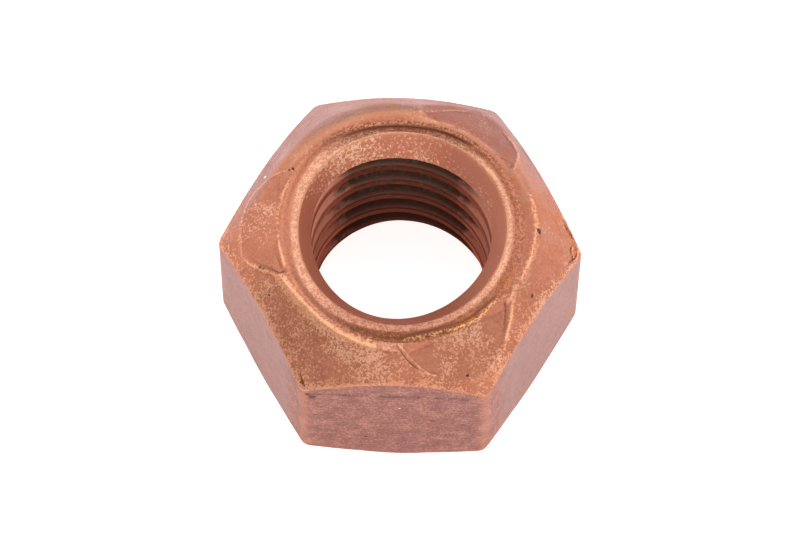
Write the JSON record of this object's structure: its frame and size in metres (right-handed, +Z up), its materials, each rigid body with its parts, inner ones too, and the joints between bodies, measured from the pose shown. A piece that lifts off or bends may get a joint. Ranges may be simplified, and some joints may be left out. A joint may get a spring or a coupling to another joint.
{
  "type": "all-metal lock nut",
  "caption": "All-metal prevailing-torque hexagon nut with crimped collar, M8 thread, plated steel.",
  "frame": {"origin": "centre of the bearing face, where the thread's axis meets it", "axes": "+Z up the thread's axis towards the crimped collar; +X through a corner of the hexagon"},
  "size_m": [0.0138, 0.012, 0.0078],
  "materials": {
    "plated_steel": "copper plated, worn satin"
  },
  "bodies": {
    "root": {"lock_nut": "plated_steel"}
  },
  "joints": []
}
